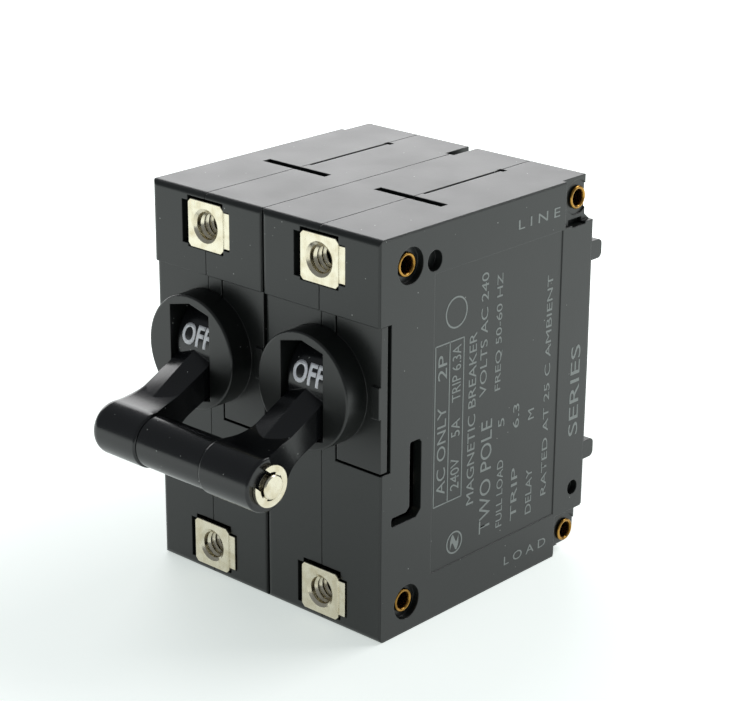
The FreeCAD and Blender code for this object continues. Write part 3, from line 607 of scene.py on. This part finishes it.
@dataclass
class SidePrint:
    """Grey ink on the right side of the case: generic ratings, a small table, terminal names and two rings.

    Places are in millimetres on the case side. A ring is its centre's Y and Z, and its radius.
    """

    ink_thickness: float = 0.02 * MM
    recess_depth: float = 0.1 * MM
    recess_y: tuple[float, float] = (9.3, 33.4)
    recess_z: tuple[float, float] = (-19.3, 19.3)
    rule_width: float = 0.16 * MM
    ring_share: float = 1.3
    ring_sides: int = 48
    table_y: tuple[float, float, float] = (10.0, 12.6, 15.2)
    table_z: tuple[float, float] = (-10.6, 10.1)
    weight: float = 0.0
    lines: tuple[PrintLine, ...] = (
        PrintLine("L I N E", 24.9, 33.0, 21.3, 22.5, Reading.REARWARD),
        PrintLine("L O A D", 23.9, 32.4, -23.1, -21.9, Reading.REARWARD),
        PrintLine("AC ONLY", 10.5, 12.1, -9.3, 2.2),
        PrintLine("2P", 10.5, 12.1, 5.6, 8.8),
        PrintLine("240V", 13.1, 14.7, -9.4, -5.2),
        PrintLine("5A", 13.1, 14.7, -2.4, -0.1),
        PrintLine("TRIP 6.3A", 13.1, 14.7, 2.2, 9.4),
        PrintLine("MAGNETIC BREAKER", 16.2, 17.6, -12.3, 10.2),
        PrintLine("VOLTS AC 240", 18.3, 19.6, 1.4, 17.3),
        PrintLine("TWO POLE", 18.8, 20.9, -17.1, -2.0),
        PrintLine("FREQ 50-60 HZ", 21.2, 22.5, 1.4, 16.5),
        PrintLine("FULL LOAD", 22.1, 23.3, -17.3, -8.2),
        PrintLine("5", 22.1, 23.3, -3.7, -2.6),
        PrintLine("TRIP", 25.0, 26.2, -17.3, -10.1),
        PrintLine("6.3", 25.0, 26.2, -4.7, -1.5),
        PrintLine("DELAY", 28.0, 29.2, -17.4, -11.2),
        PrintLine("M", 28.0, 29.2, -4.4, -3.0),
        PrintLine("RATED AT 25 C AMBIENT", 31.1, 32.2, -15.8, 14.0),
        PrintLine("SERIES", 36.4, 38.3, -9.2, 3.2),
    )
    rings: tuple[tuple[float, float, float], ...] = ((13.7, 13.6, 2.0), (14.1, -16.5, 1.5))
    marks: tuple[PrintLine, ...] = (
        PrintLine("~", 13.3, 14.9, -17.6, -15.4, Reading.REARWARD),
    )

    def build(self, material: bpy.types.Material, box: tuple) -> bpy.types.Object:
        """Set every line, the table's rules and the two marks.

        Args:
            material: The ink.
            box: Lowest and highest corners of the right case half.

        Returns:
            One object that holds the whole print.
        """
        surface_x = box[1][0]
        pieces = [self.set_line(line, surface_x) for line in self.lines]
        pieces += self.rules(surface_x)
        pieces += [self.ring(*ring, surface_x) for ring in self.rings]
        pieces += [self.set_line(mark, surface_x) for mark in self.marks]
        piece = merge(pieces, "side_print")
        dress(piece, material, "root")
        return piece

    def plane_x(self, y_mm: float, z_mm: float, surface_x: float) -> float:
        """Give the X of the moulded surface under a point of the print."""
        near_y, far_y = self.recess_y
        low_z, high_z = self.recess_z
        in_recess = near_y < y_mm < far_y and low_z < z_mm < high_z
        return surface_x - (self.recess_depth if in_recess else 0.0)

    def set_line(self, line: PrintLine, surface_x: float) -> bpy.types.Object:
        """Set one line of words in its box.

        Args:
            line: The line and its box.
            surface_x: X of the case side.

        Returns:
            The line as a mesh.
        """
        run_y = (line.far_y - line.near_y) * MM
        run_z = (line.high_z - line.low_z) * MM
        width, height = (run_z, run_y) if line.reading is Reading.UPWARD else (run_y, run_z)
        text = flat_text(line.words, self.weight)
        fit_flat(text, width, height)
        apply_modifier(text, "SOLIDIFY", thickness=self.ink_thickness, offset=1.0)
        text.data.transform(line.reading.turn())
        corner_y = line.far_y if line.reading is Reading.UPWARD else line.near_y
        plane = self.plane_x((line.near_y + line.far_y) / 2, (line.low_z + line.high_z) / 2, surface_x)
        text.data.transform(Matrix.Translation((plane, corner_y * MM, line.low_z * MM)))
        return text

    def rules(self, surface_x: float) -> list[bpy.types.Object]:
        """Draw the frame of the small table and its middle rule.

        Args:
            surface_x: X of the case side.

        Returns:
            The rules as separate bars.
        """
        half = self.rule_width / 2 / MM
        near_rule, middle_rule, far_rule = self.table_y
        low_z, high_z = self.table_z
        spans = [(y - half, y + half, low_z, high_z) for y in (near_rule, middle_rule, far_rule)]
        spans += [(near_rule, far_rule, z - half, z + half) for z in (low_z, high_z)]
        rules = []
        for near_y, far_y, bottom, top in spans:
            deselect()
            plane = self.plane_x((near_y + far_y) / 2, (bottom + top) / 2, surface_x)
            bpy.ops.mesh.primitive_cube_add(size=1.0, location=(
                plane + self.ink_thickness / 2, (near_y + far_y) / 2 * MM, (bottom + top) / 2 * MM))
            rule = bpy.context.object
            rule.scale = (self.ink_thickness, (far_y - near_y) * MM, (top - bottom) * MM)
            bpy.ops.object.transform_apply(location=True, rotation=True, scale=True)
            rules.append(rule)
        return rules

    def ring(self, y_mm: float, z_mm: float, radius_mm: float, surface_x: float) -> bpy.types.Object:
        """Draw a plain ring round a mark.

        Args:
            y_mm: Y of its centre.
            z_mm: Z of its centre.
            radius_mm: Its outer radius.
            surface_x: X of the case side.

        Returns:
            The ring as a closed mesh.
        """
        deselect()
        place = (self.plane_x(y_mm, z_mm, surface_x) + self.ink_thickness / 2, y_mm * MM, z_mm * MM)
        side = (0, math.radians(90), 0)
        outer = radius_mm * MM
        inner = outer - self.rule_width * self.ring_share
        bpy.ops.mesh.primitive_cylinder_add(vertices=self.ring_sides, radius=outer,
                                            depth=self.ink_thickness, location=place, rotation=side)
        disc = bpy.context.object
        bpy.ops.mesh.primitive_cylinder_add(vertices=self.ring_sides, radius=inner,
                                            depth=self.ink_thickness * 3, location=place, rotation=side)
        combine(disc, bpy.context.object, "DIFFERENCE")
        activate(disc)
        bpy.ops.object.transform_apply(location=True, rotation=True, scale=True)
        return disc


@dataclass(frozen=True)
class Legend:
    """One word on a drum: its middle line's angle above straight out, its left end and its width."""

    word: str
    angle: float
    start_mm: float
    width_mm: float


@dataclass
class DrumLegends:
    """White words wrapped on the handle drums, OFF above the lever and ON below it."""

    pivot_y: float
    pivot_z: float
    radius: float = 6.3 * MM
    height: float = 2.8 * MM
    ink_thickness: float = 0.035 * MM
    cuts: int = 9
    weight: float = 0.03
    legends: tuple[Legend, ...] = (Legend("OFF", 18.2, -2.3, 5.0), Legend("ON", -67.4, -1.7, 3.4))

    def build(self, material: bpy.types.Material) -> bpy.types.Object:
        """Wrap each word on each drum.

        Args:
            material: The white ink.

        Returns:
            One object that holds every word.
        """
        pieces = [self.wrap(legend, offset) for offset in POLE_X.values() for legend in self.legends]
        piece = merge(pieces, "drum_legends")
        dress(piece, material, "handle")
        return piece

    def wrap(self, legend: Legend, offset: float) -> bpy.types.Object:
        """Set one word flat, cut it across and bend it round the drum.

        Args:
            legend: The word and its place on the drum.
            offset: X of the pole's middle plane.

        Returns:
            The word as a closed mesh.
        """
        middle = math.radians(legend.angle)
        start_x = offset + legend.start_mm * MM
        text = flat_text(legend.word, self.weight)
        fit_flat(text, legend.width_mm * MM, self.height)
        activate(text)
        bpy.ops.object.mode_set(mode="EDIT")
        for step in range(1, self.cuts):
            bpy.ops.mesh.select_all(action="SELECT")
            bpy.ops.mesh.bisect(plane_co=(0, self.height * step / self.cuts, 0), plane_no=(0, 1, 0))
        bpy.ops.object.mode_set(mode="OBJECT")
        for vertex in text.data.vertices:
            angle = middle + (vertex.co.y - self.height / 2) / self.radius
            vertex.co = Vector((start_x + vertex.co.x, self.pivot_y - self.radius * math.cos(angle),
                                self.pivot_z + self.radius * math.sin(angle)))
        apply_modifier(text, "SOLIDIFY", thickness=self.ink_thickness, offset=1.0)
        return text


# ------------------------------------------------------------------ studio
@dataclass(frozen=True)
class SoftBox:
    """One rectangular soft light that faces the part."""

    name: str
    place: tuple[float, float, float]
    width: float
    height: float
    power: float

    def build(self) -> None:
        """Add the light, turned towards the origin."""
        data = bpy.data.lights.new(self.name, "AREA")
        data.shape = "RECTANGLE"
        data.size = self.width
        data.size_y = self.height
        data.energy = self.power
        lamp = bpy.data.objects.new(self.name, data)
        lamp.location = self.place
        lamp.rotation_euler = (-Vector(self.place)).to_track_quat("-Z", "Y").to_euler()
        bpy.context.scene.collection.objects.link(lamp)


@dataclass
class Studio:
    """Camera, pale glowing floor with a painted shadow round the part, dim surroundings and two soft lights
    behind the part.
    """

    camera_place: Vector = field(default_factory=lambda: Vector((175.92, -173.41, 98.14)) * MM)
    forward: Vector = field(default_factory=lambda: Vector((-0.63137, 0.69494, -0.34413)))
    right: Vector = field(default_factory=lambda: Vector((0.73849, 0.67423, 0.00667)))
    down: Vector = field(default_factory=lambda: Vector((0.23666, -0.24993, -0.93890)))
    lens_mm: float = 104.73
    sensor_mm: float = 36.0
    floor_size: float = 3.0
    floor_gap: float = 0.02 * MM
    # Painted shadow round the part: the floor's glow rises from the first value near the part to the second
    # far out.
    painted_shadow_reach: tuple[float, float] = (35 * MM, 120 * MM)
    glow_with_painted_shadow: tuple[float, float] = (0.58, 0.95)
    soft_boxes: tuple[SoftBox, ...] = (
        SoftBox("high rear softbox", (0.25, 0.62, 0.62), 0.6, 0.4, 3.2),
        SoftBox("low rear softbox", (-0.474, 0.322, 0.155), 0.56, 0.32, 1.42),
    )

    def build(self) -> None:
        """Build the whole studio."""
        self.add_camera()
        self.add_surroundings()
        self.add_floor()
        for box in self.soft_boxes:
            box.build()
        LOG.info("studio ready")

    def add_camera(self) -> None:
        """Add the camera and make it the scene's own."""
        data = bpy.data.cameras.new("camera")
        data.lens = self.lens_mm
        data.sensor_width = self.sensor_mm
        data.clip_start = 0.01
        camera = bpy.data.objects.new("camera", data)
        turn = Matrix((self.right, -self.down, -self.forward)).transposed().to_4x4()
        camera.matrix_world = Matrix.Translation(self.camera_place) @ turn
        bpy.context.scene.collection.objects.link(camera)
        bpy.context.scene.camera = camera

    def add_surroundings(self) -> None:
        """Fill the surroundings with dim, even light, so that the softboxes show in the gloss."""
        world = bpy.data.worlds.new("dim surroundings")
        world.use_nodes = True
        world.node_tree.nodes.clear()
        light = add_node(world.node_tree, "ShaderNodeBackground", {
            "Color": linear("#eef4fa"), "Strength": 0.26})
        add_node(world.node_tree, "ShaderNodeOutputWorld", {"Surface": light.outputs["Background"]})
        bpy.context.scene.world = world
        bpy.context.scene.view_settings.view_transform = "Standard"

    def add_floor(self) -> None:
        """Lay a pale floor that glows evenly far from the part, with a painted shadow: the glow is dimmer
        close to the part.
        """
        deselect()
        bpy.ops.mesh.primitive_plane_add(size=self.floor_size, location=(0, 0, BOTTOM_Z - self.floor_gap))
        floor = bpy.context.object
        floor.name = "floor"
        material, tree = new_material("glowing white floor with painted shadow")
        place = add_node(tree, "ShaderNodeTexCoord").outputs["Object"]
        reach = add_node(tree, "ShaderNodeVectorMath", {0: place}, operation="LENGTH")
        # Painted shadow: less glow close to the part, full glow farther out.
        glow_with_painted_shadow = add_node(tree, "ShaderNodeMapRange", {
            "Value": reach.outputs["Value"], "From Min": self.painted_shadow_reach[0], "From Max": self.painted_shadow_reach[1],
            "To Min": self.glow_with_painted_shadow[0], "To Max": self.glow_with_painted_shadow[1]})
        surface = add_node(tree, "ShaderNodeBsdfPrincipled", {
            "Base Color": linear("#f4f6f4"), "Roughness": 0.6, "Emission Color": linear("#f4fcf8"),
            "Emission Strength": glow_with_painted_shadow.outputs["Result"]})
        add_node(tree, "ShaderNodeOutputMaterial", {"Surface": surface.outputs["BSDF"]})
        floor.data.materials.append(material)


# ------------------------------------------------------------------ frame
def dress_frame(frame: dict) -> dict[str, bpy.types.Material]:
    """Give every node of the frame its finish.


    Returns:
        The built materials by slot.
    """
    built = {slot: finish.build() for slot, finish in FINISHES.items()}
    for part in frame["record"]["subparts"]:
        node = frame["nodes"][part["node"]]
        node.data.materials.clear()
        node.data.materials.append(built[part["material_slot"]])
        LOG.info("%s in %s", part["node"], part["material_slot"])
    return built


def main() -> None:
    """Build the scene in order."""
    logging.basicConfig(level=logging.INFO, format="%(name)s: %(message)s")
    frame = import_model()
    deselect()
    Studio().build()
    built = dress_frame(frame)
    mounts = {mount["name"]: mount for mount in frame["record"]["mounts"]}
    joints = {joint["name"]: joint for joint in frame["record"]["behaviour"]["joints"]}
    spacing = mounts["panel_screws"]["dims"]
    pivot = joints["handle_hinge"]["pos_m"]
    ThreadedNuts(spacing["spacing_x_mm"] * MM, spacing["spacing_y_mm"] * MM).build(built["nickel"])
    CoreSprings(frame, joints).build(built["spring_steel"])
    DrumLegends(pivot[1], pivot[2]).build(WHITE_INK.build())
    SidePrint().build(GREY_INK.build(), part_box("right_outer_case"))


if __name__ == "__main__":
    main()
